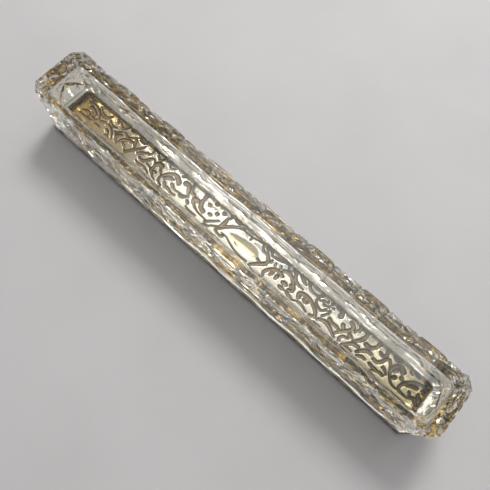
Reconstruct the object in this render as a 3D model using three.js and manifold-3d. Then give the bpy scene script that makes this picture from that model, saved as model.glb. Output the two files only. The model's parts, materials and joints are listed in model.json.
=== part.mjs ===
// Cut-glass hatpin box with a slip-on parcel-gilt silver lid.
// It lies as it is photographed, turned over: the lid is down, the glass base is up.
// Millimetres, +Z up, +X along the box, origin in the middle of the face it rests on.

import * as THREE from 'three';
import { mergeVertices } from 'three/addons/utils/BufferGeometryUtils.js';
import Module from 'manifold-3d';

const wasm = await Module();
wasm.setup();

// Glass body
const glassLength = 270;
const glassWidth = 35.6;
const glassHeight = 35.3;
const cornerCut = 5;
const baseBevel = 1.2;

// Cavity for the pins, open towards the lid
const baseThickness = 11.8;
const cavityLength = 256.6;
const cavityWidth = 21.4;
const cavityCorner = 2.5;
const cavityCornerSteps = 4;
const cavityFloorRadius = 1;
const cavityFloorSteps = 3;
const cavityDraft = 1.1;

// Wheel-cut mitres: uprights between the panels, crosses through the stars, a belt
const sidePanels = 16;
const endPanels = 6;
const sidePanelsPerLozenge = 2;
const endPanelsPerLozenge = 6;
const frontFirstStar = 0.5;
const endFirstStar = 3;
const uprightDepth = 1.9;
const uprightHalfWidth = 1.8;
const endUprightDepth = 1.2;
const endUprightHalfWidth = 1.4;
const crossDepth = 2.1;
const crossHalfWidth = 2.5;
const beltDepth = 1.1;
const beltHalfWidth = 1.3;

// The cuts grow shallow towards the mouth and leave a plain rim there
const plainRim = 2;
const cutRunOut = 9;

// Fine diamonds that fill each lozenge between the crosses, and notches down the corners
const diamondRows = 5;
const diamondDepth = 0.9;
const diamondOverlap = 0.04;
const notchCount = 6;
const notchDepth = 0.8;
const notchHalfWidth = 1.5;

// Lid
const lidOverhang = 1;
const borderHeight = 2.2;
const borderWidth = 3;
const borderLip = 1.5;
const plateThickness = 0.9;
const bezelHeight = 3.2;
const bezelThickness = 0.8;
const bezelClearance = 0.35;

// Embossing of the lid plate: a vacant cartouche in a run of C-scrolls
const reliefHeight = 1;
const sheetThickness = 0.6;
const cartoucheLength = 28;
const cartoucheWidth = 10.6;
const cartoucheX = 1;
const cartoucheY = 2.8;
const scrollPitch = 17;
const scrollLength = 27;
const scrollHalfWidth = 1.2;
const scrollTaper = 0.55;
const scrollBendDegrees = 65;
const scrollCurlDegrees = 130;
const scrollSteps = 12;
const scrollDrop = 3;
const scrollMargin = 3;

// Cutters run this far past the faces that they open
const past = 1;

const mouthZ = borderHeight;
const topZ = mouthZ + glassHeight;
const middleZ = mouthZ + glassHeight / 2;
const cavityFloorZ = topZ - baseThickness;
const cavityDepth = cavityFloorZ - mouthZ;
const draftedDepth = cavityDepth - cavityFloorRadius;
const lidLength = glassLength + 2 * lidOverhang;
const lidWidth = glassWidth + 2 * lidOverhang;
const lidCornerCut = cornerCut + lidOverhang * (2 - Math.SQRT2);
const plateZ = borderHeight - plateThickness;

// Four cut corners for one step, round ones for more, counter-clockwise
function cornered(length, width, corner, steps) {
  const points = [];
  [[1, 1], [-1, 1], [-1, -1], [1, -1]].forEach(([sideX, sideY], quarter) => {
    for (let step = 0; step <= steps; step += 1) {
      const angle = (quarter + step / steps) * Math.PI / 2;
      points.push(new THREE.Vector2(
        sideX * (length / 2 - corner) + corner * Math.cos(angle),
        sideY * (width / 2 - corner) + corner * Math.sin(angle),
      ));
    }
  });
  return points;
}

// The lid's and the glass body's cut-cornered outline, drawn in by an inset
function cutOutline(length, width, corner, inset) {
  const cut = corner - inset * (2 - Math.SQRT2);
  return cornered(length - 2 * inset, width - 2 * inset, cut, 1);
}

// The cavity's round-cornered outline, drawn in by an inset
function cavityOutline(inset) {
  const length = cavityLength - 2 * inset;
  const width = cavityWidth - 2 * inset;
  return cornered(length, width, cavityCorner - inset, cavityCornerSteps);
}

// A closed skin over convex rings of equal point count, capped at its ends or joined in a ring
function skin(rings, isRing) {
  const count = rings[0].length;
  const positions = rings.flat().flatMap((point) => point.toArray());
  const index = [];
  const bands = isRing ? rings.length : rings.length - 1;
  for (let band = 0; band < bands; band += 1) {
    const low = band * count;
    const high = ((band + 1) % rings.length) * count;
    for (let i = 0; i < count; i += 1) {
      const j = (i + 1) % count;
      index.push(low + i, low + j, high + j, low + i, high + j, high + i);
    }
  }
  const last = (rings.length - 1) * count;
  for (let i = 1; i < count - 1 && !isRing; i += 1) {
    index.push(0, i + 1, i, last, last + i, last + i + 1);
  }
  const geometry = new THREE.BufferGeometry();
  geometry.setAttribute('position', new THREE.Float32BufferAttribute(positions, 3));
  geometry.setIndex(index);
  return geometry;
}

// A skin over level outlines, each layer being { outline, z }
function loft(layers, isRing) {
  const rings = layers.map(({ outline, z }) => (
    outline.map((point) => new THREE.Vector3(point.x, point.y, z))
  ));
  return skin(rings, isRing);
}

function toSolid(geometry) {
  const bare = geometry.clone();
  bare.deleteAttribute('normal');
  bare.deleteAttribute('uv');
  const merged = mergeVertices(bare, 1e-4);
  return new wasm.Manifold(new wasm.Mesh({
    numProp: 3,
    vertProperties: new Float32Array(merged.attributes.position.array),
    triVerts: new Uint32Array(merged.index.array),
  }));
}

function toGeometry(solid) {
  const mesh = solid.getMesh();
  const geometry = new THREE.BufferGeometry();
  geometry.setAttribute('position', new THREE.BufferAttribute(mesh.vertProperties, 3));
  geometry.setIndex(new THREE.BufferAttribute(mesh.triVerts, 1));
  return geometry;
}

// A wheel's V cut, standing upright, its edge at +Y inside the face that lies at y = 0
function mitre(length, depth, halfWidth) {
  const open = halfWidth * (depth + past) / depth;
  const section = new THREE.Shape([
    new THREE.Vector2(-open, -past),
    new THREE.Vector2(open, -past),
    new THREE.Vector2(0, depth),
  ]);
  const cut = new THREE.ExtrudeGeometry(section, { depth: length, bevelEnabled: false });
  return cut.translate(0, 0, -length / 2);
}

// Rows of fine mitres along both edges of a lozenge, which leave a field of small pyramids
function diamondCuts(lozenge, centreX) {
  const cuts = [];
  const edge = Math.hypot(lozenge, glassHeight) / 2;
  const slant = Math.atan2(lozenge, glassHeight);
  const rowWidth = edge * Math.sin(2 * slant) / diamondRows;
  for (const lean of [-slant, slant]) {
    for (let row = 1; row < diamondRows; row += 1) {
      const shift = (row / diamondRows - 0.5) * edge;
      const cut = mitre(edge, diamondDepth, rowWidth / 2 + diamondOverlap).rotateY(lean);
      cuts.push(cut.translate(
        centreX - shift * Math.sin(lean),
        0,
        middleZ + shift * Math.cos(lean),
      ));
    }
  }
  return cuts;
}

// All cuts of one face that stands at y = 0, its first star that many panels from its end
function faceCuts({ faceLength, panels, panelsPerLozenge, firstStar, depth, halfWidth }) {
  const cuts = [];
  const pitch = faceLength / panels;
  const lozenge = panelsPerLozenge * pitch;
  const slant = Math.atan2(lozenge, glassHeight);
  const slantLength = Math.hypot(lozenge, glassHeight) + 2 * past;
  for (let line = 1; line < panels; line += 1) {
    const upright = mitre(glassHeight + 2 * past, depth, halfWidth);
    cuts.push(upright.translate(line * pitch - faceLength / 2, 0, middleZ));
  }
  for (let star = firstStar - panelsPerLozenge; star <= panels; star += panelsPerLozenge) {
    const starX = star * pitch - faceLength / 2;
    cuts.push(...diamondCuts(lozenge, starX + lozenge / 2));
    if (star < 0) continue;
    for (const lean of [-slant, slant]) {
      const cross = mitre(slantLength, crossDepth, crossHalfWidth).rotateY(lean);
      cuts.push(cross.translate(starX, 0, middleZ));
    }
  }
  const belt = mitre(faceLength, beltDepth, beltHalfWidth).rotateY(Math.PI / 2);
  cuts.push(belt.translate(0, 0, middleZ));
  return cuts;
}

// Level notches down a cut corner whose flat stands at y = 0
function cornerNotches() {
  const pitch = glassHeight / notchCount;
  const across = cornerCut * Math.SQRT2 + 2 * past;
  const cuts = [];
  for (let notch = 0; notch < notchCount; notch += 1) {
    const cut = mitre(across, notchDepth, notchHalfWidth).rotateY(Math.PI / 2);
    cuts.push(cut.translate(0, 0, mouthZ + (notch + 0.5) * pitch));
  }
  return cuts;
}

// The drawn-in block of glass that the cuts leave whole above the mouth
function rimBlock() {
  const rimTop = mouthZ + plainRim;
  const deepest = Math.max(uprightDepth, crossDepth);
  return loft([
    { outline: cutOutline(glassLength, glassWidth, cornerCut, 0), z: mouthZ },
    { outline: cutOutline(glassLength, glassWidth, cornerCut, 0), z: rimTop },
    { outline: cutOutline(glassLength, glassWidth, cornerCut, deepest), z: rimTop + cutRunOut },
  ], false);
}

// The drafted cavity with its floor's edge rounded, running past the mouth
function cavityBlock() {
  const draftPast = cavityDraft * (draftedDepth + past) / draftedDepth;
  const layers = [{ outline: cavityOutline(-draftPast), z: mouthZ - past }];
  for (let step = 0; step <= cavityFloorSteps; step += 1) {
    const angle = step / cavityFloorSteps * Math.PI / 2;
    layers.push({
      outline: cavityOutline(cavityFloorRadius * (1 - Math.cos(angle))),
      z: cavityFloorZ - cavityFloorRadius * (1 - Math.sin(angle)),
    });
  }
  return loft(layers, false);
}

function glassBody() {
  const outline = cutOutline(glassLength, glassWidth, cornerCut, 0);
  const baseOutline = cutOutline(glassLength, glassWidth, cornerCut, baseBevel);
  const block = loft([
    { outline, z: mouthZ },
    { outline, z: topZ - baseBevel },
    { outline: baseOutline, z: topZ },
  ], false);
  const side = {
    faceLength: glassLength,
    panels: sidePanels,
    panelsPerLozenge: sidePanelsPerLozenge,
    firstStar: frontFirstStar,
    depth: uprightDepth,
    halfWidth: uprightHalfWidth,
  };
  const backFirstStar = (sidePanels - frontFirstStar) % sidePanelsPerLozenge;
  const end = {
    faceLength: glassWidth,
    panels: endPanels,
    panelsPerLozenge: endPanelsPerLozenge,
    firstStar: endFirstStar,
    depth: endUprightDepth,
    halfWidth: endUprightHalfWidth,
  };
  const halfLength = glassLength / 2;
  const halfWidth = glassWidth / 2;
  const cornerAngle = Math.PI / 4;
  const faces = [
    { cuts: faceCuts(side), x: 0, y: -halfWidth, turn: 0 },
    { cuts: faceCuts({ ...side, firstStar: backFirstStar }), x: 0, y: halfWidth, turn: 4 },
    { cuts: faceCuts(end), x: halfLength, y: 0, turn: 2 },
    { cuts: faceCuts(end), x: -halfLength, y: 0, turn: 6 },
  ];
  const cornerX = halfLength - cornerCut / 2;
  const cornerY = halfWidth - cornerCut / 2;
  [[1, -1], [1, 1], [-1, 1], [-1, -1]].forEach(([sideX, sideY], quarter) => {
    faces.push({ cuts: cornerNotches(), x: sideX * cornerX, y: sideY * cornerY, turn: 2 * quarter + 1 });
  });
  let glass = toSolid(block);
  for (const { cuts, x, y, turn } of faces) {
    for (const cut of cuts) {
      cut.rotateZ(turn * cornerAngle).translate(x, y, 0);
      glass = glass.subtract(toSolid(cut));
    }
  }
  return toGeometry(glass.add(toSolid(rimBlock())).subtract(toSolid(cavityBlock())));
}

// The border wire's section as [inset from the lid's edge, height]
function borderSection() {
  const round = new THREE.EllipseCurve(borderLip, borderHeight / 2, borderLip, borderHeight / 2,
    -Math.PI / 2, -3 * Math.PI / 2, true);
  const outside = round.getPoints(6).map((point) => [point.x, point.y]);
  return [
    ...outside,
    [borderLip, plateZ],
    [borderWidth, plateZ],
    [borderWidth - plateZ / 2, 0],
  ];
}

function borderWire() {
  const layers = borderSection().map(([inset, z]) => (
    { outline: cutOutline(lidLength, lidWidth, lidCornerCut, inset), z }
  ));
  return loft(layers, true);
}

function bezelStrip() {
  const slope = cavityDraft * bezelHeight / draftedDepth;
  const outer = slope + bezelClearance - cavityDraft;
  const inner = outer + bezelThickness;
  return loft([
    { outline: cavityOutline(outer), z: mouthZ },
    { outline: cavityOutline(outer), z: mouthZ + bezelHeight },
    { outline: cavityOutline(inner), z: mouthZ + bezelHeight },
    { outline: cavityOutline(inner), z: mouthZ },
  ], true);
}

// The vacant cartouche's pear outline, its point towards -X
function cartouche(grow) {
  const half = cartoucheLength / 2 + grow;
  const wide = cartoucheWidth / 2 + grow;
  const pear = new THREE.Shape();
  pear.moveTo(-half, -wide * 0.7);
  pear.bezierCurveTo(-half * 0.5, -wide * 0.8, -half * 0.1, -wide, half * 0.45, -wide);
  pear.bezierCurveTo(half * 0.85, -wide, half, -wide * 0.5, half, 0);
  pear.bezierCurveTo(half, wide * 0.6, half * 0.8, wide, half * 0.4, wide);
  pear.bezierCurveTo(-half * 0.2, wide, -half * 0.4, wide * 0.4, -half, -wide * 0.7);
  return pear;
}

// A pillow under the cartouche's outline, its full outline in the plane z = 0, rising to -Z
function cartoucheBoss(grow, height) {
  const lift = height / 2;
  const boss = new THREE.ExtrudeGeometry(cartouche(grow - height), {
    depth: lift,
    bevelThickness: lift,
    bevelSize: height,
    bevelSegments: 3,
    curveSegments: 6,
  });
  return boss.translate(cartoucheX, cartoucheY, -lift);
}

// The middle line of a C-scroll that opens to +Y, bent more and more towards its curled ends
function scrollPath() {
  const path = [new THREE.Vector3()];
  for (let step = 0; step < scrollSteps; step += 1) {
    const t = 2 * (step + 0.5) / scrollSteps - 1;
    const degrees = scrollBendDegrees * t + scrollCurlDegrees * t ** 3;
    const heading = THREE.MathUtils.degToRad(degrees);
    const stride = new THREE.Vector3(Math.cos(heading), Math.sin(heading), 0);
    path.push(stride.multiplyScalar(scrollLength / scrollSteps).add(path.at(-1)));
  }
  const middle = new THREE.Box3().setFromPoints(path).getCenter(new THREE.Vector3());
  return path.map((point) => point.sub(middle));
}

// A tapered scroll, keel-shaped below z = 0 and upright from there to the top
function scrollRidge(grow, top) {
  const path = scrollPath();
  const rings = path.map((point, step) => {
    const t = 2 * step / scrollSteps - 1;
    const before = path[Math.max(step - 1, 0)];
    const after = path[Math.min(step + 1, scrollSteps)];
    const ahead = after.clone().sub(before).normalize();
    const half = scrollHalfWidth * (1 - scrollTaper * t * t) + grow;
    const section = [[half, top], [-half, top], [-half, 0], [0, -reliefHeight], [half, 0]];
    return section.map(([side, z]) => (
      new THREE.Vector3(point.x - side * ahead.y, point.y + side * ahead.x, z)
    ));
  });
  return skin(rings, false);
}

// The run of scrolls, opening up and down in turn, clear of the cartouche and the border
function placeScrolls(ridge) {
  const size = new THREE.Box3().setFromPoints(scrollPath()).getSize(new THREE.Vector3());
  const clear = size.x / 2 + scrollMargin;
  const reach = lidLength / 2 - borderWidth - clear;
  const placed = [];
  for (const way of [-1, 1]) {
    let up = 1;
    const firstX = cartoucheX + way * (cartoucheLength / 2 + clear);
    for (let x = firstX; way * x <= reach; x += way * scrollPitch) {
      const turned = ridge.clone().rotateZ(up > 0 ? 0 : Math.PI);
      placed.push(turned.translate(x, up * scrollDrop, 0));
      up = -up;
    }
  }
  return placed;
}

function lidPlate() {
  const outline = cutOutline(lidLength, lidWidth, lidCornerCut, borderLip);
  const sheet = loft([{ outline, z: plateZ }, { outline, z: borderHeight }], false);
  const bosses = [cartoucheBoss(0, reliefHeight)];
  bosses.push(...placeScrolls(scrollRidge(sheetThickness, plateThickness / 2)));
  const hollows = [cartoucheBoss(-sheetThickness, reliefHeight)];
  hollows.push(...placeScrolls(scrollRidge(0, past)));
  let plate = toSolid(sheet);
  for (const boss of bosses) plate = plate.add(toSolid(boss.translate(0, 0, plateZ)));
  for (const hollow of hollows) {
    plate = plate.subtract(toSolid(hollow.translate(0, 0, borderHeight)));
  }
  return toGeometry(plate);
}

function part(name, geometry, color, roughness, metalness) {
  geometry.computeVertexNormals();
  const material = new THREE.MeshStandardMaterial({ color, roughness, metalness });
  const mesh = new THREE.Mesh(geometry, material);
  mesh.name = name;
  return mesh;
}

const hatpinBox = new THREE.Group();
hatpinBox.add(
  part('glass_body', glassBody(), 0xe9eeee, 0.03, 0),
  part('lid_plate', lidPlate(), 0xd9b96a, 0.22, 1),
  part('lid_border', borderWire(), 0xc9c6c0, 0.25, 1),
  part('lid_bezel', bezelStrip(), 0xd9b96a, 0.2, 1),
);

export default hatpinBox;
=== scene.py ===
# Cut-glass hatpin box turned over onto its silver-gilt lid
import json
import math
import bmesh
import bpy
import numpy as np
from mathutils import Euler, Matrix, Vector

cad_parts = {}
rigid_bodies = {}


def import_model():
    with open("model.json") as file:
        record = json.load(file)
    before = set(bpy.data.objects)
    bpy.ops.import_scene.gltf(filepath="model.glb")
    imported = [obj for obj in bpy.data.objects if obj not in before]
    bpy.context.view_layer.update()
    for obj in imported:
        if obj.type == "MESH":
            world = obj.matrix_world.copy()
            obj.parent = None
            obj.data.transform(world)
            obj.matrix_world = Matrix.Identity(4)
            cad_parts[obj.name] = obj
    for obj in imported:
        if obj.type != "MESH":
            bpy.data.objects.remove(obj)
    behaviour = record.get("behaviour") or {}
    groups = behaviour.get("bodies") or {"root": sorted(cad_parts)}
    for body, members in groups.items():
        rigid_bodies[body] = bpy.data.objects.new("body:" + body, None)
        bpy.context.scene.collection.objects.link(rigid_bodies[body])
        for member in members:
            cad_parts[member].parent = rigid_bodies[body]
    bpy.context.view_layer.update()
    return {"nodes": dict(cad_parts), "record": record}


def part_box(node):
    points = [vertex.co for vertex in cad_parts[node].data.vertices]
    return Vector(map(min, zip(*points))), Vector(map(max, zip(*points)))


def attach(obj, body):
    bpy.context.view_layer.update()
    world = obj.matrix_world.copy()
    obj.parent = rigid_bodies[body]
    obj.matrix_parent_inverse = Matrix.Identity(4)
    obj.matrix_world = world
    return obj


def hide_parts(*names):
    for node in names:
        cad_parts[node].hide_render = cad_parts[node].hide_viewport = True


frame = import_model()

nodes = frame["nodes"]
mm = 0.001
onPlane = 0.01 * mm      # a point this near to a plane lies on it
mergeWithin = 0.002 * mm
cutWithin = 0.001 * mm

view = {
    "place": (0.0510, -0.0639, 0.2604),
    "turn": (17.41, -2.37, 41.89),   # degrees about X, Y and Z
    "lens": 35.0,
    "sensor": 36.0,
    "clipStart": 0.01,
}


def addCamera():
    data = bpy.data.cameras.new("photoCamera")
    data.lens = view["lens"]
    data.sensor_width = view["sensor"]
    data.clip_start = view["clipStart"]
    camera = bpy.data.objects.new("photoCamera", data)
    camera.location = view["place"]
    camera.rotation_euler = Euler([math.radians(a) for a in view["turn"]])
    bpy.context.scene.collection.objects.link(camera)
    bpy.context.scene.camera = camera
    print("camera:", view["lens"], "mm lens")


# Meshes

def mergedCopy(node):
    bm = bmesh.new()
    bm.from_mesh(nodes[node].data)
    bmesh.ops.remove_doubles(bm, verts=bm.verts, dist=mergeWithin)
    return bm


def joinFlats(bm, edges, verts, degrees):
    # the triangles of each flat become one face
    bmesh.ops.dissolve_limit(bm, angle_limit=math.radians(degrees), edges=edges, verts=verts)


def isLevel(face):
    return abs(face.normal.z) >= 0.998


def isUpright(face):
    return abs(face.normal.z) < 0.5


# the two lists keep their order, so that every run makes the same mesh

def edgesOf(faces):
    return list(dict.fromkeys(e for f in faces for e in f.edges))


def cornersOf(faces):
    return list(dict.fromkeys(v for f in faces for v in f.verts))


def sliceFaces(bm, faces, place, normal):
    bmesh.ops.bisect_plane(bm, geom=cornersOf(faces) + edgesOf(faces) + faces, dist=cutWithin,
                           plane_co=place, plane_no=normal)


def sliceAll(bm, place, normal, clearOuter=False):
    bmesh.ops.bisect_plane(bm, geom=bm.verts[:] + bm.edges[:] + bm.faces[:], dist=cutWithin,
                           plane_co=place, plane_no=normal, clear_outer=clearOuter)


def roundEdges(bm, edges, reach, steps):
    bmesh.ops.bevel(bm, geom=edges, offset=reach * mm, segments=steps,
                    affect="EDGES", profile=0.5, material=-1)


def newPiece(name, bm, material):
    mesh = bpy.data.meshes.new(name)
    bm.to_mesh(mesh)
    bm.free()
    mesh.materials.append(material)
    piece = bpy.data.objects.new(name, mesh)
    bpy.context.scene.collection.objects.link(piece)
    return piece


def shadeByAngle(piece, degrees):
    piece.data.polygons.foreach_set("use_smooth", [True] * len(piece.data.polygons))
    piece.data.set_sharp_from_angle(angle=math.radians(degrees))


# Materials

def newMaterial(name):
    material = bpy.data.materials.new(name)
    material.use_nodes = True
    tree = material.node_tree
    return material, tree, tree.nodes["Principled BSDF"]


def addNode(tree, kind, **settings):
    made = tree.nodes.new(kind)
    for key, value in settings.items():
        if key in made.inputs:
            made.inputs[key].default_value = value
        else:
            setattr(made, key, value)
    return made


def mathValue(tree, operation, *values):
    # each value is a socket or a written number
    made = addNode(tree, "ShaderNodeMath", operation=operation)
    for socket, value in zip(made.inputs, values):
        if isinstance(value, (int, float)):
            socket.default_value = value
        else:
            tree.links.new(value, socket)
    return made.outputs[0]


def mixColours(tree, factor, first, second):
    # each colour is a socket or a written value
    mix = addNode(tree, "ShaderNodeMix", data_type="RGBA")
    tree.links.new(factor, mix.inputs[0])
    for socket, colour in ((mix.inputs[6], first), (mix.inputs[7], second)):
        if isinstance(colour, tuple):
            socket.default_value = (*colour, 1)
        else:
            tree.links.new(colour, socket)
    return mix.outputs[2]


def noiseValue(tree, place, scale, detail):
    noise = addNode(tree, "ShaderNodeTexNoise", Scale=scale, Detail=detail)
    tree.links.new(place, noise.inputs["Vector"])
    return noise.outputs["Fac"]


def shifted(tree, value, noise, reach):
    # a value that wanders by the noise, so that no border in a material is straight
    return mathValue(tree, "MULTIPLY_ADD", noise, reach, mathValue(tree, "SUBTRACT", value, reach / 2))


def rampValue(tree, value, start, end, low, high):
    ramp = addNode(tree, "ShaderNodeMapRange")
    for name, number in (("From Min", start), ("From Max", end), ("To Min", low), ("To Max", high)):
        ramp.inputs[name].default_value = number
    tree.links.new(value, ramp.inputs["Value"])
    return ramp.outputs["Result"]


marks = {
    "stretch": (0.06, 1.0, 1.0),     # the scratches run along the box
    "lineDetail": 3.0,
    "lineRoughness": 0.65,
    "scratchEdge": (0.56, 0.68),     # noise values at which a scratch starts and is full
    "cloudDetail": 4.0,
    "cloudEdge": (0.38, 0.64),       # and a patch
    "bumpDepth": 0.0001,             # metres
}


def wearGroup():
    # fine scratches that run lengthwise, and cloudy patches
    group = bpy.data.node_groups.new("handWear", "ShaderNodeTree")
    sockets = group.interface
    sockets.new_socket(name="Place", in_out="INPUT", socket_type="NodeSocketVector")
    for name in ("Scratch Scale", "Patch Scale", "Height"):
        sockets.new_socket(name=name, in_out="INPUT", socket_type="NodeSocketFloat")
    for name in ("Scratches", "Patches"):
        sockets.new_socket(name=name, in_out="OUTPUT", socket_type="NodeSocketFloat")
    sockets.new_socket(name="Normal", in_out="OUTPUT", socket_type="NodeSocketVector")
    inside = addNode(group, "NodeGroupInput")
    out = addNode(group, "NodeGroupOutput")
    stretch = addNode(group, "ShaderNodeMapping", Scale=marks["stretch"])
    group.links.new(inside.outputs["Place"], stretch.inputs["Vector"])
    lines = addNode(group, "ShaderNodeTexNoise", Detail=marks["lineDetail"], Roughness=marks["lineRoughness"])
    group.links.new(stretch.outputs[0], lines.inputs["Vector"])
    group.links.new(inside.outputs["Scratch Scale"], lines.inputs["Scale"])
    clouds = addNode(group, "ShaderNodeTexNoise", Detail=marks["cloudDetail"])
    group.links.new(inside.outputs["Place"], clouds.inputs["Vector"])
    group.links.new(inside.outputs["Patch Scale"], clouds.inputs["Scale"])
    bump = addNode(group, "ShaderNodeBump", Distance=marks["bumpDepth"])
    group.links.new(inside.outputs["Height"], bump.inputs["Strength"])
    group.links.new(lines.outputs["Fac"], bump.inputs["Height"])
    scratches = rampValue(group, lines.outputs["Fac"], *marks["scratchEdge"], 0, 1)
    patches = rampValue(group, clouds.outputs["Fac"], *marks["cloudEdge"], 0, 1)
    group.links.new(scratches, out.inputs["Scratches"])
    group.links.new(patches, out.inputs["Patches"])
    group.links.new(bump.outputs["Normal"], out.inputs["Normal"])
    return group


def addWear(tree, place, scratchScale, patchScale, height):
    wear = addNode(tree, "ShaderNodeGroup", node_tree=handWear)
    tree.links.new(place, wear.inputs["Place"])
    for name, value in (("Scratch Scale", scratchScale), ("Patch Scale", patchScale), ("Height", height)):
        wear.inputs[name].default_value = value
    return wear.outputs


# Glass body, lengths in mm

glass = {
    "tint": (0.925, 0.915, 0.865),
    "bend": 1.54,
    "wear": (700.0, 60.0, 0.03),     # scale of the scratches, scale of the patches, strength of the bump
    "scuffRoughness": 0.05,
    "sharpAngle": 9.0,               # degrees between facets that stay crisp outside
    "cavityAngle": 40.0,             # and in the cavity, which is polished round
    "sliceStep": 4.5,                # between the sections that carry the hand-worked waves
    "waves": ((0.55, 5.1, 1.0), (0.3, 2.9, 2.3), (0.15, 1.7, 4.1)),   # size, length, share of the phase

    "flatAngle": 0.5,
    "polish": 0.3,                   # rounding of the base's edge
    "polishSteps": 3,
    "leastEdge": 0.03,               # shorter edges are closed
    "baseSlices": (-12, -6, 0, 6, 12),
    "baseWave": 0.05,
    "basePhase": 0.4,
    "baseTurns": 9,                  # the wave's phase changes by 1 over this width
    "baseFlat": 2,                   # a strip along the edge stays flat
    "baseGrows": (8, 3),             # the wave grows over this, along and across

    "cavityPast": (1.1, 1.7),        # what lies this far past the bezel is still the cavity
    "leastBase": 5,                  # the cavity's floor lies further than this under the base
    "wallLevels": (4.5, 6.3, 8.1, 9.9, 11.7, 13.5, 15.3, 17.1, 18.9, 20.7, 22.5, 23.6, 24.2,
                   24.9, 25.4),
    "endSlices": (-8, -4, 0, 4, 8),
    "wallsFrom": (120, 5),           # from the middle, along and across: what lies further out is a wall
    "wallsGrow": 4,                  # its waves grow over this
    "floorRound": 1.6,               # the walls stand back by this, in a round from the floor's edge
    "roundFades": 0.4,               # share of the height, from the mouth, over which that fades out
    "waveFrom": 6,                   # height at which the long waves start
    "wallWave": 0.5,
    "wallStretch": 1.7,              # the long edges wander this much slower than the base does
    "wallPhases": (1.1, 3.9),        # far side, near side
    "endWave": 0.05,
    "endQuick": 2,                   # the short ends wander this much quicker
    "endPhases": (0.5, 2.8),         # right end, left end
    "ridgeFrom": 4,
    "wallRidge": 0.24,
    "ridgeTurns": 1.9,               # the ridges' phase per mm of height
    "ridgeSway": (1.5, 23),          # how far they sway, and over what length
    "ridgeFades": 6,                 # the higher, the nearer to the floor the ridges reach

    "bevel": 1.2,
    "cornerCut": 5,
    "cornerMargin": 1,               # the reworked walls end this far from the cut corners
    "onWall": 0.005,                 # less deep than this is the wall's own flat
    "deepestCut": 2.4,
    "cutShare": 0.5,                 # depth of the deepest wheel cuts against the solid's
    "fullCut": 1.8,                  # cuts shallower than this are softened further
    "starCount": 8,
    "starShift": 0.25,               # share of the distance between two stars
    "panelDrop": 0.7,                # how far the panels between two stars lie back
    "panelFades": 4,                 # towards the corners, over this
    "outerLevels": (7, 11, 15, 22, 26, 30, 34),
    "outerRidge": 0.3,
    "outerTurns": 0.8,
    "outerSway": (0.9, 19),
    "outerFoot": (5, 3),             # the outer ridges start at this height and grow over this
    "outerHead": (1.5, 2),           # and end this far under the base, after fading over this
}

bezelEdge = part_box("lid_bezel")[1] / mm
cavityEdge = [(bezelEdge[i] + glass["cavityPast"][i]) * mm for i in (0, 1)]


def inCavity(place):
    return abs(place.x) < cavityEdge[0] and abs(place.y) < cavityEdge[1]


def isWall(face):
    return abs(face.normal.z) < 0.8


def isEnd(face):
    return abs(face.normal.x) > 0.8


def glassMaterial():
    material, tree, shader = newMaterial("cutGlass")
    shader.inputs["Base Color"].default_value = (*glass["tint"], 1)
    shader.inputs["IOR"].default_value = glass["bend"]
    shader.inputs["Transmission Weight"].default_value = 1.0
    place = addNode(tree, "ShaderNodeTexCoord").outputs["Object"]
    wear = addWear(tree, place, *glass["wear"])
    tree.links.new(rampValue(tree, wear["Scratches"], 0, 1, 0, glass["scuffRoughness"]),
                   shader.inputs["Roughness"])
    tree.links.new(wear["Normal"], shader.inputs["Normal"])
    return material


def waver(x, phase):
    # mm along the box in, a smooth value within about -1 and 1 out
    return sum(size * math.sin(x / length + turn * phase) for size, length, turn in glass["waves"])


def grown(value, reach):
    # 0 up to where the value passes 0, then a straight rise to 1 over the reach
    return min(1, max(0, value / reach))


def baseFaces(bm, high):
    return [f for f in bm.faces if f.calc_center_median().z > high.z - onPlane]


def betweenBaseAndBevel(edge):
    ups = sorted(f.normal.z for f in edge.link_faces)
    return len(ups) == 2 and ups[1] > 0.99 and 0.2 < ups[0] < 0.95


def roundBase(bm, high):
    base = baseFaces(bm, high)
    joinFlats(bm, edgesOf(base), cornersOf(base), glass["flatAngle"])
    rim = [e for e in bm.edges if betweenBaseAndBevel(e)]
    roundEdges(bm, rim, glass["polish"], glass["polishSteps"])
    bmesh.ops.dissolve_degenerate(bm, edges=bm.edges, dist=glass["leastEdge"] * mm)


def sliceGlass(bm, low, high):
    # sections through the body, then more on the base and the walls
    steps = int((high.x - low.x) / mm / glass["sliceStep"])
    for i in range(1, steps):
        sliceAll(bm, (low.x + (high.x - low.x) * i / steps, 0, 0), (1, 0, 0))
    for y in glass["baseSlices"]:
        sliceFaces(bm, baseFaces(bm, high), (0, y * mm, 0), (0, 1, 0))
    for levels, inner in ((glass["wallLevels"], True), (glass["outerLevels"], False)):
        for z in levels:
            walls = [f for f in bm.faces if isWall(f) and inCavity(f.calc_center_median()) == inner]
            sliceFaces(bm, walls, (0, 0, z * mm), (0, 0, 1))
    for y in glass["endSlices"]:
        ends = [f for f in bm.faces if isEnd(f) and inCavity(f.calc_center_median())]
        sliceFaces(bm, ends, (0, y * mm, 0), (0, 1, 0))


def baseSag(x, y, outer):
    flat = glass["baseFlat"]
    along, across = glass["baseGrows"]
    grows = min(grown(outer.y - flat - abs(y), across), grown(outer.x - flat - abs(x), along))
    return grows * glass["baseWave"] * (1 + waver(x, glass["basePhase"] + y / glass["baseTurns"]))


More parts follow.
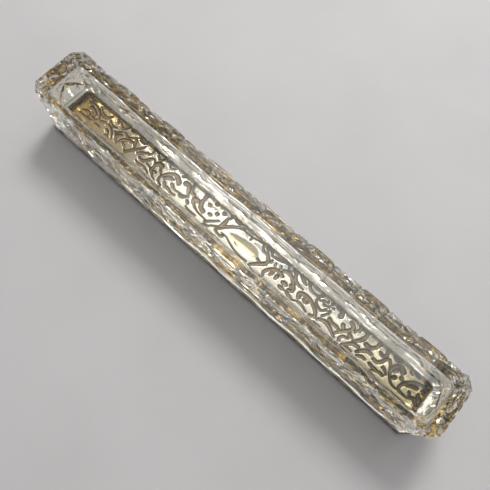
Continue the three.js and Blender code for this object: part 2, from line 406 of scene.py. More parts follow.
def cavityMove(x, y, z, mouthZ, floorZ, cavityTop):
    # how far a point of the cavity's walls goes along and across
    share = max(0, z - mouthZ) / (floorZ - mouthZ)
    left = max(0, glass["floorRound"] - max(0, floorZ - z))
    back = math.sqrt(glass["floorRound"] ** 2 - left ** 2) * grown(share, glass["roundFades"])
    rise = grown(z - glass["waveFrom"], cavityTop - glass["waveFrom"])
    endFrom, sideFrom = glass["wallsFrom"]
    sway, swayLength = glass["ridgeSway"]
    wave = rise * glass["wallWave"] * waver(x / glass["wallStretch"], glass["wallPhases"][y < 0])
    wave += (grown(z - glass["ridgeFrom"], 1) * (1 - share ** glass["ridgeFades"]) * glass["wallRidge"]
             * math.sin(glass["ridgeTurns"] * z + sway * math.sin(x / swayLength + y)))
    across = grown(abs(y) - sideFrom, glass["wallsGrow"]) * (wave + math.copysign(back, y))
    wave = rise * glass["endWave"] * waver(y * glass["endQuick"], glass["endPhases"][x < 0])
    along = grown(abs(x) - endFrom, glass["wallsGrow"]) * (wave + math.copysign(back, x))
    return along, across


def sideSunk(x, z, sink, outer, fade):
    # how far a point of the long walls lies inside the wall's flat
    cut = glass["cutShare"] * sink * grown(sink, glass["fullCut"])
    pitch = 2 * outer.x / glass["starCount"]
    between = (1 - math.cos(2 * math.pi * (x / pitch - glass["starShift"]))) / 2
    foot, footReach = glass["outerFoot"]
    head, headReach = glass["outerHead"]
    band = grown(z - foot, footReach) * grown(outer.z - head - z, headReach)
    sway, swayLength = glass["outerSway"]
    ridge = (1 + math.sin(glass["outerTurns"] * z + sway * math.sin(x / swayLength))) / 2
    return cut + fade * glass["panelDrop"] * between + fade * band * glass["outerRidge"] * ridge


def workGlass(bm, low, high):
    # hand work: waves, softer cuts, and the panels between the stars ground back
    outer = high / mm
    mouthZ = low.z / mm
    highest = high.z - glass["leastBase"] * mm
    floorZ = max(v.co.z for v in bm.verts if inCavity(v.co) and v.co.z < highest) / mm
    cavityTop = frame["record"]["physics"]["openings"][0]["box_m"][1][2] / mm
    fromCorner = glass["cornerCut"] + glass["cornerMargin"]
    polished = glass["bevel"] - glass["polish"]
    for v in bm.verts:
        x, y, z = v.co / mm
        fromBase = outer.z - z
        if fromBase < onPlane / mm:
            v.co.z -= baseSag(x, y, outer) * mm
        elif inCavity(v.co):
            along, across = cavityMove(x, y, z, mouthZ, floorZ, cavityTop)
            v.co.x += along * mm
            v.co.y += across * mm
        elif fromBase >= glass["polish"]:
            drawnIn = max(0, glass["bevel"] - fromBase)
            sink = outer.y - drawnIn - abs(y)
            flatLeft = outer.x - fromCorner - abs(x)
            if sink < glass["deepestCut"] and flatLeft > 0:
                fade = grown(flatLeft, glass["panelFades"]) * grown(fromBase - glass["polish"], polished)
                v.co.y = math.copysign(outer.y - drawnIn - sideSunk(x, z, sink, outer, fade), y) * mm
            sink = outer.x - drawnIn - abs(x)
            if glass["onWall"] < sink < glass["deepestCut"] and abs(y) < outer.y - fromCorner:
                v.co.x += math.copysign((1 - glass["cutShare"]) * sink, x) * mm


def shadeGlass(bm):
    bm.normal_update()
    for f in bm.faces:
        f.smooth = True
    for e in bm.edges:
        middle = (e.verts[0].co + e.verts[1].co) / 2
        polishedRound = inCavity(middle) and not any(isLevel(f) for f in e.link_faces)
        limit = glass["cavityAngle"] if polishedRound else glass["sharpAngle"]
        e.smooth = e.calc_face_angle(0) < math.radians(limit)


def addGlass():
    low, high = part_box("glass_body")
    bm = mergedCopy("glass_body")
    roundBase(bm, high)
    sliceGlass(bm, low, high)
    workGlass(bm, low, high)
    shadeGlass(bm)
    piece = newPiece("cutGlassBody", bm, glassMaterial())
    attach(piece, "glass")
    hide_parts("glass_body")
    print("glass body:", len(piece.data.polygons), "faces")


# Lid plate, lengths in mm

plate = {
    "cells": (600, 78),
    "gap": 0.06,                       # under the glass mouth
    "thickness": 0.9,
    "sharpAngle": 60,
    "slim": 0.88,                      # scales every half width in the table of scrolls
    "depth": 0.62,                     # share of a stroke's half width that it sinks
    "deepest": 0.8,
    "steep": 0.35,                     # below 1 the strokes have steep edges and flat bottoms
    "curveSteps": 8,
    "strokeMargin": 0.6,               # a stroke is felt this far past its own width
    "farOff": 1.5,                     # past this, a point counts as far from every stroke
    "shift": (0.5, -1.0),              # from the plane of the foot, where the table was drawn, to the plate
    "stretch": 1.1,
    "foldHigh": 11.3,                  # the ornament is mirrored about these lines, under the walls
    "foldLow": -4.3,
    "dishCentre": (4.6, 2.1),
    "dishReach": (10.6, 4.7),
    "dishTaper": 0.28,                 # share of its width lost from its right end to its middle, and on
    "dishRound": 1.4,
    "dishDepth": 0.8,
    "dishMask": 4,                     # how sharply its painted cream highlight ends
    "flowerCentre": (62.2, 7.2),
    "flowerPetals": 6,
    "petalTurn": 0.3,
    "petalReach": (1.9, 3.1),
    "petalWidths": (0.5, 0.9, 0.6),
    "bossWidths": (0.8, 0.9, 0.8),
    "latticeCorner": (-22.7, 9.7),
    "latticeSteps": ((-2.9, -2.8), (3.9, -3.9)),
    "latticeCount": 4,                 # studs each way from the corner
    "latticeReach": (7.2, 6.2),
    "latticeCentre": (-20.6, 5.9),
    "studWidths": (1.1, 1.25, 1.1),
    "studHalf": 0.3,

    "paleMiddle": (0.86, 0.83, 0.74),        # the pale middle of the plate
    "cream": (0.86, 0.74, 0.45),
    "full": (0.74, 0.50, 0.15),
    # the dark of the speckle under the glass walls: painted shade, with some tarnishing
    "deep": (0.03, 0.022, 0.010),
    "hollow": (0.50, 0.37, 0.19),
    "hollowDeep": (0.22, 0.17, 0.10),
    # the colour of the stroke outlines: a tarnished crease, and painted shade of the strokes' sloping sides
    "tarnishAndShade": (0.045, 0.034, 0.022),
    "hollowEdge": (-0.1, 0.1),
    "line": (0.16, 0.40),              # from a stroke's edge, where its dark outline fades: a tarnished crease, and painted shade of the sloping sides
    "outlineShadeStrength": 0.85,
    "farEnd": (-0.125, -0.060),        # metres along the box, where the full gold fades to the pale middle
    "nearEnd": (0.075, 0.118),
    "wander": 0.03,                    # metres that these two borders wander
    "wallEdge": (0.0102, 0.0116),      # metres from the middle line
    "endEdge": (0.1245, 0.1275),
    "grain": (620.0, 3),               # scale and detail
    "grainEdge": (0.46, 0.54),
    "patches": (90.0, 4),
    "roughness": (0.15, 0.55),         # ground, hollows
    "coveredRoughness": (0.12, 0.32),
    "wear": (1400.0, 90.0, 0.12),
}

# each scroll has its half widths at the start, the middle and the end, then its middle line
scrolls = [
    ((.5, 1.2, .9), [(-125.2, 6.8), (-121.4, 7), (-117.9, 6.2), (-114.8, 4.7), (-112.6, 2.2)]),
    ((.9, 1.1, .8), [(-121.5, 4.8), (-118.5, 4.3), (-115.5, 3.2)]),
    ((.4, .8, .9), [(-124, .8), (-122.1, 1.7), (-119.5, 1.6), (-118.5, .5)]),
    ((.7, .7, .4), [(-116.2, 1), (-114.5, .5), (-112.9, 1.6)]),
    ((.5, .8, .5), [(-124, -1.5), (-119.5, -1.6), (-115.6, -1.1)]),
    ((.5, 1.2, .6), [(-110.6, 2), (-109.5, 2.8), (-106.4, 3.3), (-103.3, 2.8), (-100.6, 1.6),
                     (-97.5, -1.5)]),
    ((.7, 1, .5), [(-104.3, .9), (-101.8, -.3), (-101, -1.5)]),
    ((.5, .6, .4), [(-111.8, -.7), (-108.3, -.7)]),
    ((.6, 1.1, .6), [(-116.8, 8.2), (-114.5, 6.6), (-111, 5.8), (-108.3, 7), (-107.1, 8.7)]),
    ((.6, .6, .5), [(-126, 9.7), (-124, 8.9), (-122.4, 9.3)]),
    ((.9, .8, .6), [(-105.8, 5.7), (-104.5, 4.9), (-101.8, 4.7), (-99.8, 5.3)]),
    ((.7, .7, .5), [(-103.3, 9.5), (-101.8, 8.8), (-100.2, 9.2)]),
    ((.8, .6, .4), [(-99.1, 8.5), (-97.5, 7.4), (-96, 8.2), (-94.5, 9.9)]),
    ((.6, .5, .4), [(-99.1, 3.2), (-97.9, 2.4), (-97.2, 4.3), (-95.4, 5.9)]),
    ((.5, 1, .5), [(-94.1, 4.3), (-95.6, 3.2), (-96.2, 1.6), (-95.2, -.3), (-93.3, -1.7)]),
    ((.9, 1.1, .7), [(-86.9, 4.8), (-89.5, 4), (-91.8, 2.4), (-92.7, .3)]),
    ((.5, .7, .5), [(-89.5, 6), (-87.9, 7), (-86.2, 8.8)]),
    ((.8, .7, .5), [(-93.7, 6.4), (-92.2, 5.8), (-90.4, 5.8)]),
    ((.4, .5, .4), [(-92.5, 9.7), (-90.2, 9.8)]),
    ((.6, .8, .5), [(-90.2, 1.2), (-87.9, 0), (-86.8, -1.7)]),
    ((.7, .8, .6), [(-102.2, -2.4), (-99.5, -2.7)]),
    ((.6, .8, .5), [(-84.6, 9.9), (-81.8, 8.8), (-79.8, 9.7)]),
    ((.8, 1, .7), [(-85.7, 7.2), (-84.8, 5.4), (-83.8, 3.8)]),
    ((.6, .9, 1.1), [(-78.6, 7.9), (-80.3, 4.9), (-82.2, 2.6), (-84.2, -.1), (-85.3, -2.6)]),
    ((.8, 1, .6), [(-79.4, 2.4), (-77.4, 4.1), (-75.8, 5.2)]),
    ((.9, .9, .5), [(-76.5, 1.1), (-74.5, .7), (-72.6, 1.8), (-71.1, 4.2), (-69.5, 5.7), (-66.9, 4)]),
    ((.7, .7, .9), [(-75.3, 6.1), (-73.8, 5.7), (-72.6, 7.6), (-73, 9.9), (-74.2, 10.9)]),
    ((.9, .7, .6), [(-68.8, 8.8), (-66.5, 7.7), (-64.7, 9.6)]),
    ((.6, .5, .4), [(-71.3, 10.8), (-69.5, 10.3)]),
    ((.5, .9, .6), [(-76.8, -1.8), (-74.5, -2.5), (-71.8, -1.8), (-68.8, -2.2), (-66.3, -3)]),
    ((.6, .4, .3), [(-70.3, 1.1), (-68, .7), (-66.1, -.8), (-63.4, -2.4), (-60.3, -3.4)]),
    ((1.6, 1, .6), [(-62.9, 5.9), (-65.2, 5.7), (-66, 2.6), (-65.3, -.5), (-63.2, -2)]),
    ((1.3, .8, .4), [(-63.3, .5), (-64.6, -.6)]),
    ((.8, .7, .4), [(-61.6, 3.5), (-59.9, 2.1)]),
    ((1.4, .9, .6), [(-48.2, 4.8), (-50.6, 6.4), (-53.2, 7), (-56.5, 4.8), (-58.5, 1.4),
                     (-58.4, -1.8), (-55, -3.6)]),
    ((.9, 1.3, 1), [(-52.2, 4.2), (-54.5, 3.4), (-56.5, 1.6)]),
    ((1.5, 1.3, .7), [(-45.3, 7.2), (-43, 7.6), (-41, 5.4), (-38.4, 2.2)]),
    ((.9, .9, .6), [(-49.2, 9.1), (-48, 10.9)]),
    ((.5, .6, .5), [(-59.5, 8.8), (-58, 8), (-55.3, 9.5)]),
    ((.4, .5, .4), [(-61.6, 10.4), (-57, 10.5)]),
    ((1, .6, .4), [(-50.5, 1.7), (-48.7, .5), (-46.4, .2), (-43.6, .9)]),
    ((1, 1, .6), [(-54.3, -.6), (-52.8, -2.2), (-50.4, -1.9), (-47.4, -2.9), (-45, -2.2)]),
    ((1.3, 1.2, .7), [(-42.6, -.2), (-41, .2), (-39.6, 1.6)]),
    ((1, .9, 1.3), [(-40.7, 11.6), (-40.2, 8.5), (-38.8, 5.9), (-36.7, 5.4)]),
    ((.9, 1, .8), [(-37.2, .2), (-36, -.9)]),
    ((1.5, .6, .4), [(-32.4, 4.3), (-34.6, 4.2), (-33.9, 2), (-31.2, .2), (-27.6, -.9), (-21.6, -1.2)]),
    ((1.3, 1.1, 1.5), [(-30.2, 11.6), (-30.5, 8.5), (-29.9, 5.1), (-28.4, 2.4), (-26.2, 1.7)]),
    ((.7, 1.4, .9), [(-12.4, 7.9), (-12.2, 5), (-12.7, 2)]),
    ((.6, .6, .6), [(-21.3, -2.4), (-18.4, .4), (-15.2, 3.4)]),
    ((.5, .5, .4), [(-16.8, -1.7), (-13.8, .4), (-10.7, 3.5), (-7.2, 6.4), (-4.5, 8.4), (-.7, 9.8)]),
    ((.6, .4, .5), [(-13.4, -1.2), (-9.9, 2.6), (-6.1, 6.1), (-2.2, 8.2), (2, 8.7), (6, 8.9),
                    (10, 9.7), (12.7, 10.9)]),
    ((.7, .8, .8), [(-13.2, -1.9), (-11.6, -2.6), (-9.8, -2.9), (-8, -1.9)]),
    ((.3, .3, .3), [(-9.5, -.7), (-6.1, -.8), (-2.6, -2), (2, -3.3), (7, -3.8), (12, -3.6)]),
    ((1, .9, .7), [(-11.6, 11), (-11, 8.9)]),
    ((.8, .8, .6), [(-8.4, 10.2), (-6.8, 9.5), (-4.6, 10.3)]),
    ((.5, .7, .5), [(-35.3, -3), (-32.2, -3.7), (-27.6, -3.4)]),
    ((.9, .9, .6), [(-20.3, -3.8), (-17.6, -3)]),
    ((.8, .7, .4), [(5.3, 7.1), (5.5, 8.4)]),
    ((.7, .7, .8), [(12.7, 10.5), (14.3, 7.8), (16.2, 6.9), (17.8, 7.8)]),
    ((.6, .6, .6), [(15.4, 10.2), (16.4, 9.2), (17.6, 10)]),
    ((.9, 1.2, .7), [(18.4, 6.9), (20.9, 4.4), (20.2, 1.8), (17.2, -.8), (14.4, -3.6)]),
    ((.8, .7, .6), [(15.5, 1.5), (17.6, .9)]),
    ((.6, .8, .6), [(22.4, 6.4), (22.7, 4.9)]),
    ((.6, .8, .6), [(25.1, 6.4), (25.5, 4.9)]),
    ((.6, .8, .6), [(28.1, 7.2), (28.7, 5.7)]),
    ((.8, .9, .7), [(22.4, 8.5), (25, 9), (27.5, 9.6), (29.4, 10.8)]),
    ((.7, .7, .6), [(19.2, 9.9), (20.8, 8)]),
    ((.6, .7, .6), [(31, 10.2), (32.2, 8.6)]),
    ((.9, 1.1, .6), [(32.4, 3.1), (29.8, 3.9), (26.9, 3.5), (24.4, 1.2), (22.9, -1.8), (24, -3.9)]),
    ((1.1, 1.1, .7), [(26.8, 1.6), (26.4, -.6)]),
    ((1.2, 1.1, .8), [(30.1, 1.4), (29.9, -.3)]),
    ((1, 1.5, 1), [(34.4, .9), (35.5, 1), (36.8, .8)]),
    ((.8, 1, .8), [(34.4, -2), (35.8, -1.9), (37.2, -2.1)]),
    ((1.2, .9, 1), [(31, 5.9), (33.1, 6.8), (35.8, 6.6), (38.5, 5), (40.9, 2.8), (41.6, .6), (39.6, -.3)]),
    ((.9, 1, .7), [(38.9, 2.6), (40.2, 1.6)]),
    ((.8, 1, .6), [(39.4, -1.8), (41.9, -2.5), (43.9, -3)]),
    ((1.2, 1, .5), [(35.2, 10.8), (37.2, 9.2), (38.6, 6.9), (41.6, 5.5), (45.4, 5.2)]),
    ((.7, .8, .7), [(33.9, 8.5), (34.4, 7.7)]),
    ((1, 1.1, .6), [(40.6, 10.6), (43.1, 9), (45.4, 8.2)]),
    ((1, .6, 1.1), [(46.2, 10.9), (47.8, 8.7), (50.4, 7.7), (53.6, 7.8), (55.4, 9), (55.9, 10.9)]),
    ((.5, .6, 1.1), [(54.4, 7.2), (56.2, 6.6), (58.2, 7.8)]),
    ((.6, .6, .7), [(54.6, 6), (55.6, 4.3), (57.7, 3.3), (60.2, 2.9), (61.6, 4.4)]),
    ((.7, .7, .8), [(64.2, 3.9), (63.1, 2.6), (62.4, 1.3)]),
    ((.7, 1.2, 1.7), [(68.6, 11.2), (69.6, 9.4), (70, 7.8)]),
    ((.6, .6, .6), [(65.9, 10.3), (67.2, 9.7)]),
    ((1.2, 1.1, .9), [(76.7, 8.6), (78.7, 7.9), (78.9, 5.8), (77, 3.4), (74.8, 1.3), (73.4, -.9)]),
    ((1.2, .9, .7), [(73.9, 4.8), (75.4, 3.4)]),
    ((1.1, .9, .8), [(66.3, 2.6), (68.6, 1.7), (71.2, 2), (73.8, 1.4)]),
    ((.8, 1.2, .5), [(61.5, -2), (63, -.7), (65.8, 0), (68.8, -.7), (71.9, -2.2), (74.1, -3.3)]),
    ((1.1, .9, 1.1), [(81.8, 11), (82.8, 8.6), (81.2, 6.7)]),
    ((.9, 1.3, .6), [(84.1, 10.8), (86.6, 10), (87.1, 7.4), (85.5, 4.4), (82.9, 1.9)]),
    ((1, 1, .6), [(87, 1.4), (84, .9), (81.6, -1.2), (79.4, -3.4)]),
    ((1.2, .8, .5), [(79.7, 3.3), (81.6, 2.8)]),
    ((.6, .9, .8), [(80.2, 1.2), (77.8, .4), (76.6, -1.5), (77, -2.8)]),
    ((.5, .7, .5), [(81, -3.2), (83.1, -2.6), (85.5, -3)]),
    ((1.2, 1.1, 1.2), [(89.4, 5.2), (92.2, 5.2), (94.5, 7.6), (94.9, 11)]),
    ((.8, 1.1, .9), [(87.8, -1), (90.2, 1.7), (92.4, 2.9), (94.6, 2.9)]),
    ((.7, .9, .6), [(89.2, -2.6), (91.1, -1.3), (93.5, -1.2)]),
    ((.8, 1, 1.2), [(97.6, 6.8), (99.4, 6.2), (101, 7.8), (100.3, 10.4)]),
    ((.8, 1.1, .7), [(96.4, 1.9), (99.2, 1.9), (101.1, 3.8), (101.9, 5.8), (103.5, 6.8), (105.3, 5.6)]),
    ((.5, .6, .5), [(105.6, 4.9), (106.8, 2.6), (109.2, -.1), (111.1, -1.6), (114.5, -2.1)]),
    ((.9, .7, .4), [(103, 1.9), (104.7, 1.3), (106.5, -.1)]),
    ((.8, .8, .7), [(96.5, -1.2), (98.8, -1.6), (100.5, -1.3)]),
    ((.4, .7, .8), [(98.6, -3.6), (101.1, -2), (103.4, -1.3), (105.3, -1.5)]),
    ((1.6, 1.1, .5), [(112.9, 6.8), (110.6, 8), (108.2, 6.9), (107.2, 4.2), (108.2, .9), (110, -.9)]),
    ((1.2, 1, .8), [(109.6, 5.4), (108.8, 4)]),
    ((1.3, .8, .4), [(110.7, 1.9), (109.3, 1)]),
    ((1.1, .9, .7), [(113.6, 4.1), (114.6, 3.4)]),
    ((.8, 1, .8), [(104.9, 10.3), (106.5, 9.2), (108.8, 10.2)]),
    ((.6, 1.1, .5), [(127.4, 8), (124.2, 8), (120.7, 6.8), (117.6, 4.2), (115.5, 1), (116.2, -1.6),
                     (121.8, -1.8)]),
    ((1.2, 1, .6), [(122.8, 5.2), (120.7, 4.4), (118.4, 2.9)]),
    ((1.1, 1, .8), [(126.1, 5.9), (127.2, 5.1)]),
    ((.9, .9, .8), [(124.9, 3.1), (126.3, 1.6), (128.2, 1.9)]),
    ((1, .8, .8), [(121, .9), (121.8, 0)]),
    ((1, 1.1, .7), [(122.9, -.6), (124.4, .2), (126.3, -.9), (128.8, -2)]),
    ((.7, .7, .5), [(115.7, 9.5), (117.3, 8.8)]),
    ((.5, .6, .5), [(118, 10.3), (121, 9.9)]),
    ((.7, .8, .6), [(124.6, 10.2), (126.4, 10.1)]),
    ((1.3, .9, .9), [(46.4, .6), (45.6, 2.4), (48.1, 3.7), (51.9, 3.6), (55.4, 2.2), (58.3, .3),
                     (59.3, -2), (56.8, -2.9)]),
    ((.9, 1.2, .6), [(49.4, 1.5), (50.8, 1), (52.2, 1.4)]),
    ((.4, .7, .5), [(45, -2.9), (47.3, -1.7), (50.4, -1.7), (54.4, -3)]),
    ((.4, .5, .4), [(60.4, -4), (65, -4)]),
]


def smoothCurve(points):
    spots = [Vector(p) for p in points]
    line = []
    for i in range(len(spots) - 1):
        before = spots[max(i - 1, 0)]
        after = spots[min(i + 2, len(spots) - 1)]
        for k in range(plate["curveSteps"]):
            t = k / plate["curveSteps"]
            line.append(0.5 * (2 * spots[i] + (spots[i + 1] - before) * t
                        + (2 * before - 5 * spots[i] + 4 * spots[i + 1] - after) * t * t
                        + (3 * spots[i] - before - 3 * spots[i + 1] + after) * t ** 3))
    line.append(spots[-1])
    return np.array([tuple(p) for p in line])


def strokeReach(x, y, widths, points):
    # distance from the middle line over the half width there, and the half width
    line = smoothCurve(points)
    lengths = np.r_[0, np.cumsum(np.hypot(*np.diff(line, axis=0).T))]
    halves = np.interp(lengths / lengths[-1], (0, 0.5, 1), widths)
    margin = max(widths) + plate["strokeMargin"]
    near = np.nonzero((x > line[:, 0].min() - margin) & (x < line[:, 0].max() + margin)
                      & (y > line[:, 1].min() - margin) & (y < line[:, 1].max() + margin))[0]
    reach = np.full(len(near), np.inf)
    half = np.full(len(near), widths[0])
    for (ax, ay), (bx, by), ha, hb in zip(line[:-1], line[1:], halves[:-1], halves[1:]):
        dx, dy = bx - ax, by - ay
        t = np.clip(((x[near] - ax) * dx + (y[near] - ay) * dy) / (dx * dx + dy * dy), 0, 1)
        width = ha + (hb - ha) * t
        share = np.hypot(x[near] - ax - t * dx, y[near] - ay - t * dy) / width
        closer = share < reach
        reach[closer] = share[closer]
        half[closer] = width[closer]
    return near, reach, half


def studStroke(x, y, widths):
    # a stroke so short that it reads as a round boss
    return widths, [(x - plate["studHalf"], y), (x + plate["studHalf"], y)]


def flowerStrokes():
    # a ring of petals round a boss
    cx, cy = plate["flowerCentre"]
    strokes = [studStroke(cx, cy, plate["bossWidths"])]
    for k in range(plate["flowerPetals"]):
        turn = 2 * math.pi * (k + plate["petalTurn"]) / plate["flowerPetals"]
        petal = [(cx + r * math.cos(turn), cy + r * math.sin(turn)) for r in plate["petalReach"]]
        strokes.append((plate["petalWidths"], petal))
    return strokes


def latticeStrokes():
    # studs on a slanted grid, inside an oval
    strokes = []
    (ax, ay), (bx, by) = plate["latticeSteps"]
    counts = range(-plate["latticeCount"], plate["latticeCount"] + 1)
    for i in counts:
        for k in counts:
            x = plate["latticeCorner"][0] + i * ax + k * bx
            y = plate["latticeCorner"][1] + i * ay + k * by
            u = (x - plate["latticeCentre"][0]) / plate["latticeReach"][0]
            v = (y - plate["latticeCentre"][1]) / plate["latticeReach"][1]
            if math.hypot(u, v) < 1:
                strokes.append(studStroke(x, y, plate["studWidths"]))
    return strokes


def reliefField(x, y):
    # how deep the sheet is pushed out, the distance to the nearest edge of a stroke, and the mask of the
    # dish's painted highlight
    x = x - plate["shift"][0]
    y = (y - plate["shift"][1]) / plate["stretch"]
    y = np.where(y > plate["foldHigh"], 2 * plate["foldHigh"] - y, y)
    y = np.where(y < plate["foldLow"], 2 * plate["foldLow"] - y, y)
    deep = np.zeros(len(x))
    nearest = np.full(len(x), plate["farOff"])
    for widths, points in scrolls + flowerStrokes() + latticeStrokes():
        near, reach, half = strokeReach(x, y, [w * plate["slim"] for w in widths], points)
        inside = np.clip(1 - reach ** 2, 0, 1)
        sunk = np.minimum(plate["depth"] * half, plate["deepest"]) * inside ** plate["steep"]
        deep[near] = np.maximum(deep[near], sunk)
        nearest[near] = np.minimum(nearest[near], (reach - 1) * half)
    u = (x - plate["dishCentre"][0]) / plate["dishReach"][0]
    wide = 1 - plate["dishTaper"] + plate["dishTaper"] * np.clip(u, -1, 1)
    v = (y - plate["dishCentre"][1]) / plate["dishReach"][1] / wide
    dish = np.clip(1 - (u ** 2 + v ** 2) ** plate["dishRound"], 0, 1)
    deep = np.maximum(deep, plate["dishDepth"] * dish)
    return deep, nearest, np.clip(dish * plate["dishMask"], 0, 1)


def underWalls(tree, cut):
    # 1 in the bands that the glass walls cover, 0 in the open middle; these bands get a painted shade
    covers = []
    for name, edge in (("Y", plate["wallEdge"]), ("X", plate["endEdge"])):
        covers.append(rampValue(tree, mathValue(tree, "ABSOLUTE", cut.outputs[name]), *edge, 0, 1))
    return mathValue(tree, "MAXIMUM", *covers)


def giltMaterial():
    material, tree, shader = newMaterial("embossedGilt")
    shader.inputs["Metallic"].default_value = 1.0
    strokeEdge, dish = (addNode(tree, "ShaderNodeAttribute", attribute_name=name).outputs["Fac"]
                        for name in ("strokeEdge", "dish"))
    hollow = rampValue(tree, strokeEdge, *plate["hollowEdge"], 1, 0)
    fromEdge = mathValue(tree, "ABSOLUTE", strokeEdge)
    outline = rampValue(tree, fromEdge, *plate["line"], plate["outlineShadeStrength"], 0)
    place = addNode(tree, "ShaderNodeTexCoord").outputs["Object"]
    cut = addNode(tree, "ShaderNodeSeparateXYZ")
    tree.links.new(place, cut.inputs[0])
    patches = noiseValue(tree, place, *plate["patches"])
    grain = noiseValue(tree, place, *plate["grain"])
    # full gold towards the far end, cream towards the near end, pale in the middle; the bands that the glass
    # walls cover get a painted shade, with a speckle of tarnishing
    along = shifted(tree, cut.outputs["X"], patches, plate["wander"])
    far = rampValue(tree, along, *plate["farEnd"], 1, 0)
    near = rampValue(tree, along, *plate["nearEnd"], 0, 1)
    covered = underWalls(tree, cut)
    ground = mixColours(tree, near, plate["paleMiddle"], plate["cream"])
    ground = mixColours(tree, far, ground, plate["full"])
    # painted highlight: the dish is painted cream
    ground = mixColours(tree, dish, ground, plate["cream"])
    # the bands under the glass walls: full gold with a speckle of painted shade and tarnishing
    shadeAndTarnishSpeckle = rampValue(tree, grain, *plate["grainEdge"], 0, 1)
    stainedAndShaded = mixColours(tree, shadeAndTarnishSpeckle, plate["deep"], plate["full"])
    ground = mixColours(tree, covered, ground, stainedAndShaded)
    pit = mixColours(tree, near, plate["hollow"], plate["hollowDeep"])
    # dark outlines along the strokes' edges: tarnished creases and painted shade of the slopes
    tone = mixColours(tree, outline, mixColours(tree, hollow, ground, pit), plate["tarnishAndShade"])
    tree.links.new(tone, shader.inputs["Base Color"])
    rough = mathValue(tree, "MAXIMUM", rampValue(tree, hollow, 0, 1, *plate["roughness"]),
                      rampValue(tree, covered, 0, 1, *plate["coveredRoughness"]))
    tree.links.new(rough, shader.inputs["Roughness"])
    tree.links.new(addWear(tree, place, *plate["wear"])["Normal"], shader.inputs["Normal"])
    return material


def cutSheet(low, high, top, along):
    # a fine grid with its corners cut, drawn down to the thickness of the sheet
    bm = bmesh.new()
    cellsX, cellsY = plate["cells"]
    bmesh.ops.create_grid(bm, x_segments=cellsX, y_segments=cellsY, size=1)
    bmesh.ops.scale(bm, vec=((high.x - low.x) / 2, (high.y - low.y) / 2, 1), verts=bm.verts)
    bmesh.ops.translate(bm, vec=(0, 0, top), verts=bm.verts)
    for sideX in (-1, 1):
        for sideY in (-1, 1):
            sliceAll(bm, (sideX * along, sideY * high.y, 0), (sideX, sideY, 0), clearOuter=True)
    drawn = bmesh.ops.extrude_face_region(bm, geom=bm.faces[:], use_keep_orig=True)
    under = [v for v in drawn["geom"] if isinstance(v, bmesh.types.BMVert)]
    bmesh.ops.translate(bm, vec=(0, 0, high.z - plate["thickness"] * mm - top), verts=under)
    bmesh.ops.recalc_face_normals(bm, faces=bm.faces)
    return bm


def addPlate():
    low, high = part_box("lid_plate")
    top = high.z - plate["gap"] * mm
    along = max(v.co.x for v in nodes["lid_plate"].data.vertices if v.co.y > high.y - onPlane)
    bm = cutSheet(low, high, top, along)
    spots = np.array([v.co for v in bm.verts]) / mm
    deep, *masks = reliefField(spots[:, 0], spots[:, 1])
    for v, sunk in zip(bm.verts, deep):
        v.co.z -= sunk * mm
    for name, mask in zip(("strokeEdge", "dish"), masks):
        layer = bm.verts.layers.float.new(name)
        for v, strength in zip(bm.verts, mask):
            v[layer] = strength
    piece = newPiece("embossedPlate", bm, giltMaterial())
    shadeByAngle(piece, plate["sharpAngle"])
    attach(piece, "lid")
    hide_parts("lid_plate")
    print("lid plate:", len(piece.data.polygons), "faces")


# Border wire and bezel, lengths in mm

border = {
    "round": 0.8,                      # the outer edges of the wire
    "roundSteps": 4,
    "flatAngle": 1,
    "sharpAngle": 30,
    "bright": (0.66, 0.63, 0.58),
    "tarnishAndShade": (0.10, 0.085, 0.065),
    "gilt": (0.50, 0.37, 0.15),
    "giltEdge": (1.2, 0.9),            # in from the rim, where the gilding gives way to silver
    "roughness": (0.18, 0.42),
}

bezel = {
    "round": 0.35,
    "roundSteps": 3,
    "flatAngle": 1,
    "sharpAngle": 40,
    "gilt": (0.46, 0.38, 0.23),
    "stain": (0.09, 0.07, 0.035),
    "roughness": (0.16, 0.4),
}

silverWear = {
    "wear": (1100.0, 220.0, 0.25),
    "stainShare": 0.7,
}


def metalMaterial(name, bright, stain, roughness):
    material, tree, shader = newMaterial(name)
    shader.inputs["Metallic"].default_value = 1.0
    place = addNode(tree, "ShaderNodeTexCoord").outputs["Object"]
    wear = addWear(tree, place, *silverWear["wear"])
    stainedAndShaded = rampValue(tree, wear["Patches"], 0, 1, 0, silverWear["stainShare"])
    shade = mixColours(tree, stainedAndShaded, bright, stain)
    tree.links.new(mixColours(tree, wear["Scratches"], shade, bright), shader.inputs["Base Color"])
    tree.links.new(rampValue(tree, wear["Patches"], 0, 1, *roughness), shader.inputs["Roughness"])
    tree.links.new(wear["Normal"], shader.inputs["Normal"])
    return material


def borderMaterial():
    material = metalMaterial("borderSilver", border["bright"], border["tarnishAndShade"], border["roughness"])
    tree = material.node_tree
    shader = tree.nodes["Principled BSDF"]
    silver = shader.inputs["Base Color"].links[0].from_socket
    cut = addNode(tree, "ShaderNodeSeparateXYZ")
    tree.links.new(addNode(tree, "ShaderNodeTexCoord").outputs["Object"], cut.inputs[0])
    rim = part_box("lid_border")[1]
    within = []
    for name, edge in (("X", rim.x), ("Y", rim.y)):
        start, end = (edge - reach * mm for reach in border["giltEdge"])
        within.append(rampValue(tree, mathValue(tree, "ABSOLUTE", cut.outputs[name]), start, end, 1, 0))
    gilt = mathValue(tree, "MULTIPLY", *within)
    tree.links.new(mixColours(tree, gilt, silver, border["gilt"]), shader.inputs["Base Color"])
    return material


def addBorder():
    bm = mergedCopy("lid_border")
    joinFlats(bm, bm.edges, bm.verts, border["flatAngle"])

    def outward(face):
        return isUpright(face) and face.normal.dot(face.calc_center_median()) > 0

    edges = [e for e in bm.edges if len(e.link_faces) == 2
             and any(outward(f) for f in e.link_faces) and any(isLevel(f) for f in e.link_faces)]
    roundEdges(bm, edges, border["round"], border["roundSteps"])
    piece = newPiece("borderWire", bm, borderMaterial())
    shadeByAngle(piece, border["sharpAngle"])
    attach(piece, "lid")
    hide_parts("lid_border")
    print("border wire:", len(piece.data.polygons), "faces")


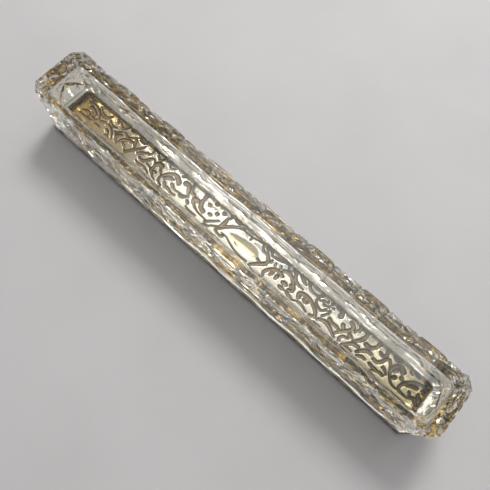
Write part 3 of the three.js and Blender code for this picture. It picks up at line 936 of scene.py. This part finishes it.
def addBezel():
    bm = mergedCopy("lid_bezel")
    joinFlats(bm, bm.edges, bm.verts, bezel["flatAngle"])
    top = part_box("lid_bezel")[1].z - onPlane
    edges = [e for e in bm.edges if all(v.co.z > top for v in e.verts)
             and any(isUpright(f) for f in e.link_faces)]
    roundEdges(bm, edges, bezel["round"], bezel["roundSteps"])
    material = metalMaterial("bezelGilt", bezel["gilt"], bezel["stain"], bezel["roughness"])
    piece = newPiece("bezelStrip", bm, material)
    shadeByAngle(piece, bezel["sharpAngle"])
    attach(piece, "lid")
    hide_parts("lid_bezel")
    print("bezel:", len(piece.data.polygons), "faces")


# Studio, lengths in metres

studio = {
    "floor": (0.60, 0.585, 0.575),
    "floorShade": (0.575, 0.56, 0.55),
    "floorSize": 12.0,
    "floorRoughness": 0.9,
    "floorWear": (500.0, 14.0, 0.1),
    "horizon": (0.10, 0.104, 0.118),   # the blue-gray that the photo's backdrop turns to
    "zenith": (0.46, 0.46, 0.47),
    "skyLean": (-0.22, 0.25, 0.90),    # the light side of the sky, away from the viewer
    "skyEdge": (0.1, 0.9),
    "softbox": {"place": (-0.10, 0.80, 1.0), "size": (1.1, 1.3), "power": 5.8},
    "key": {"place": (-0.30, 0.82, 1.02), "size": (0.35, 0.4), "power": 9.0},
}


def addFloor():
    bm = bmesh.new()
    bmesh.ops.create_grid(bm, x_segments=1, y_segments=1, size=studio["floorSize"] / 2)
    material, tree, shader = newMaterial("paleFloor")
    place = addNode(tree, "ShaderNodeTexCoord").outputs["Object"]
    wear = addWear(tree, place, *studio["floorWear"])
    tree.links.new(mixColours(tree, wear["Patches"], studio["floor"], studio["floorShade"]),
                   shader.inputs["Base Color"])
    tree.links.new(wear["Normal"], shader.inputs["Normal"])
    shader.inputs["Roughness"].default_value = studio["floorRoughness"]
    floor = newPiece("floor", bm, material)
    print("floor:", studio["floorSize"], "m wide")


def addWorld():
    world = bpy.data.worlds.new("studio")
    world.use_nodes = True
    tree = world.node_tree
    lean = addNode(tree, "ShaderNodeVectorMath", operation="DOT_PRODUCT")
    tree.links.new(addNode(tree, "ShaderNodeTexCoord").outputs["Generated"], lean.inputs[0])
    lean.inputs[1].default_value = Vector(studio["skyLean"]).normalized()
    rise = rampValue(tree, lean.outputs["Value"], *studio["skyEdge"], 0, 1)
    tree.links.new(mixColours(tree, rise, studio["horizon"], studio["zenith"]),
                   tree.nodes["Background"].inputs["Color"])
    bpy.context.scene.world = world
    print("world:", world.name)


def addLamp(name):
    lamp = studio[name]
    data = bpy.data.lights.new(name, "AREA")
    data.shape = "RECTANGLE"
    data.size, data.size_y = lamp["size"]
    data.energy = lamp["power"]
    made = bpy.data.objects.new(name, data)
    made.location = lamp["place"]
    made.rotation_euler = (-Vector(lamp["place"])).to_track_quat("-Z", "Y").to_euler()
    bpy.context.scene.collection.objects.link(made)
    print("lamp:", name, lamp["power"], "W")


handWear = wearGroup()
addCamera()
addGlass()
addPlate()
addBorder()
addBezel()
addFloor()
addWorld()
addLamp("softbox")
addLamp("key")

scene = bpy.context.scene
scene.view_settings.view_transform = "Standard"
scene.cycles.max_bounces = 32
scene.cycles.glossy_bounces = 24
scene.cycles.transmission_bounces = 32
